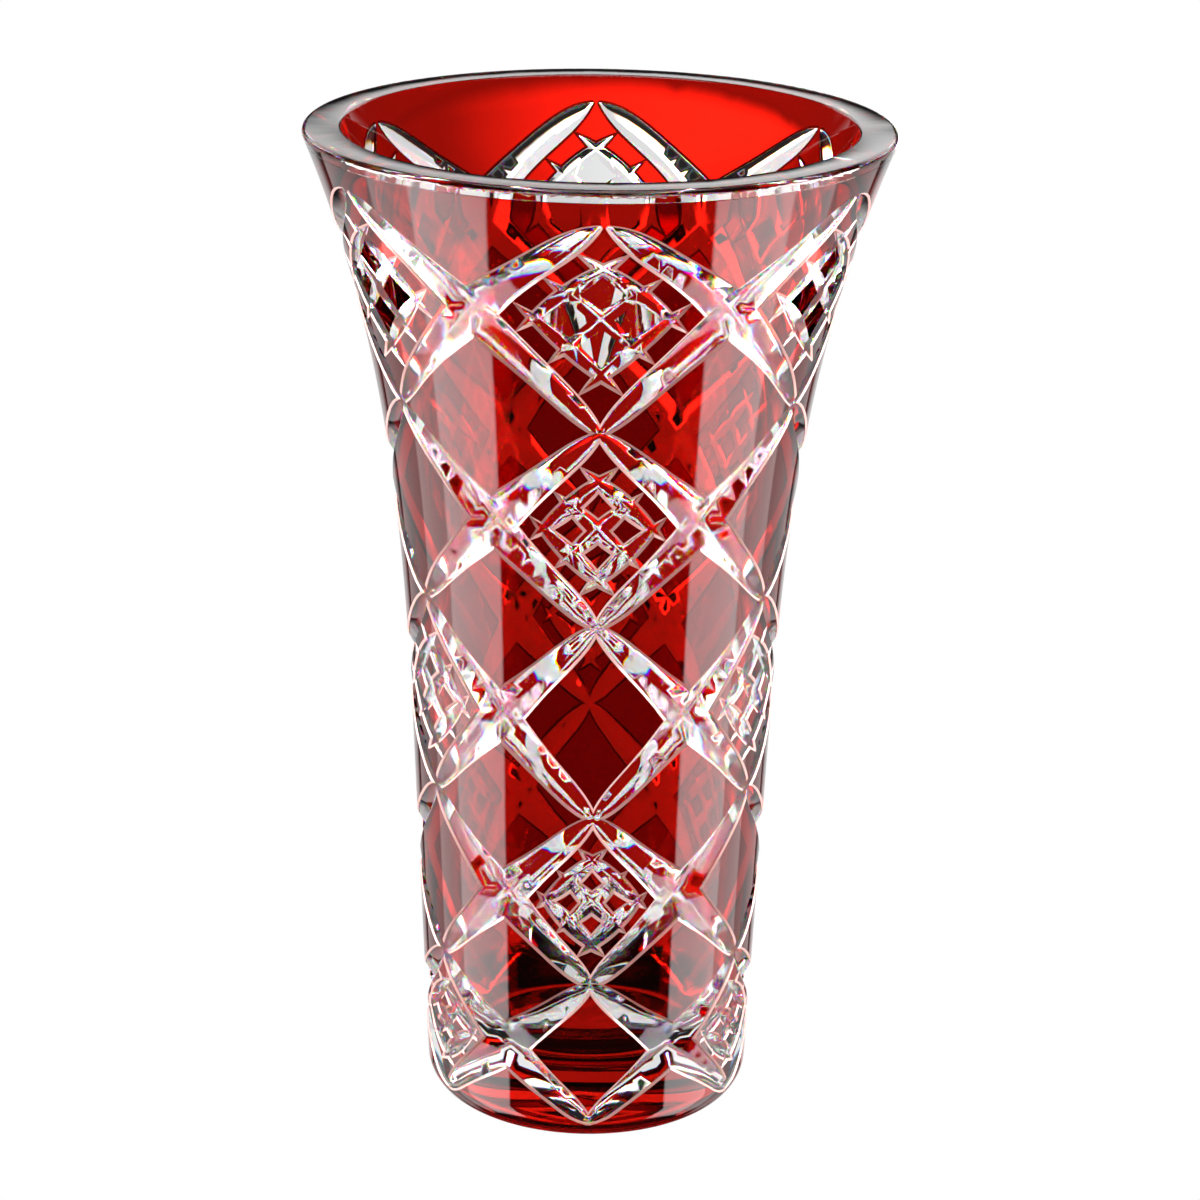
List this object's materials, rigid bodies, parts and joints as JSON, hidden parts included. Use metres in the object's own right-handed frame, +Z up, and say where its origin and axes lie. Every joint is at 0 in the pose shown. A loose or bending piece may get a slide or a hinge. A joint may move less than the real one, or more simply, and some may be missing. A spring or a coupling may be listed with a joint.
{
  "type": "cut crystal vase",
  "caption": "Tall flared crystal vase, clear body under a ruby skin cut through with crossing V grooves into diamonds, some of them hatched.",
  "frame": {"origin": "middle of the foot, on the plane that the vase rests on", "axes": "+Z up the vase's axis towards the rim; -Y through the middle of a full column of the pattern"},
  "size_m": [0.1712, 0.1712, 0.3],
  "materials": {
    "clear_crystal": "polished",
    "ruby_glass": "polished"
  },
  "bodies": {
    "root": {"crystal_body": "clear_crystal", "ruby_base_band": "ruby_glass", "ruby_hatched_diamond_row2_column1": "ruby_glass", "ruby_hatched_diamond_row2_column3": "ruby_glass", "ruby_hatched_diamond_row2_column5": "ruby_glass", "ruby_hatched_diamond_row3_column2": "ruby_glass", "ruby_hatched_diamond_row3_column4": "ruby_glass", "ruby_hatched_diamond_row3_column6": "ruby_glass", "ruby_hatched_diamond_row4_column1": "ruby_glass", "ruby_hatched_diamond_row4_column3": "ruby_glass", "ruby_hatched_diamond_row4_column5": "ruby_glass", "ruby_hatched_diamond_row5_column2": "ruby_glass", "ruby_hatched_diamond_row5_column4": "ruby_glass", "ruby_hatched_diamond_row5_column6": "ruby_glass", "ruby_plain_diamond_row2_column2": "ruby_glass", "ruby_plain_diamond_row2_column4": "ruby_glass", "ruby_plain_diamond_row2_column6": "ruby_glass", "ruby_plain_diamond_row3_column1": "ruby_glass", "ruby_plain_diamond_row3_column3": "ruby_glass", "ruby_plain_diamond_row3_column5": "ruby_glass", "ruby_plain_diamond_row4_column2": "ruby_glass", "ruby_plain_diamond_row4_column4": "ruby_glass", "ruby_plain_diamond_row4_column6": "ruby_glass", "ruby_plain_diamond_row5_column1": "ruby_glass", "ruby_plain_diamond_row5_column3": "ruby_glass", "ruby_plain_diamond_row5_column5": "ruby_glass", "ruby_rim_band": "ruby_glass", "ruby_side_diamond_row1_after_column1": "ruby_glass", "ruby_side_diamond_row1_after_column2": "ruby_glass", "ruby_side_diamond_row1_after_column3": "ruby_glass", "ruby_side_diamond_row1_after_column4": "ruby_glass", "ruby_side_diamond_row1_after_column5": "ruby_glass", "ruby_side_diamond_row1_after_column6": "ruby_glass", "ruby_side_diamond_row2_after_column1": "ruby_glass", "ruby_side_diamond_row2_after_column2": "ruby_glass", "ruby_side_diamond_row2_after_column3": "ruby_glass", "ruby_side_diamond_row2_after_column4": "ruby_glass", "ruby_side_diamond_row2_after_column5": "ruby_glass", "ruby_side_diamond_row2_after_column6": "ruby_glass", "ruby_side_diamond_row3_after_column1": "ruby_glass", "ruby_side_diamond_row3_after_column2": "ruby_glass", "ruby_side_diamond_row3_after_column3": "ruby_glass", "ruby_side_diamond_row3_after_column4": "ruby_glass", "ruby_side_diamond_row3_after_column5": "ruby_glass", "ruby_side_diamond_row3_after_column6": "ruby_glass", "ruby_side_diamond_row4_after_column1": "ruby_glass", "ruby_side_diamond_row4_after_column2": "ruby_glass", "ruby_side_diamond_row4_after_column3": "ruby_glass", "ruby_side_diamond_row4_after_column4": "ruby_glass", "ruby_side_diamond_row4_after_column5": "ruby_glass", "ruby_side_diamond_row4_after_column6": "ruby_glass"}
  },
  "joints": []
}
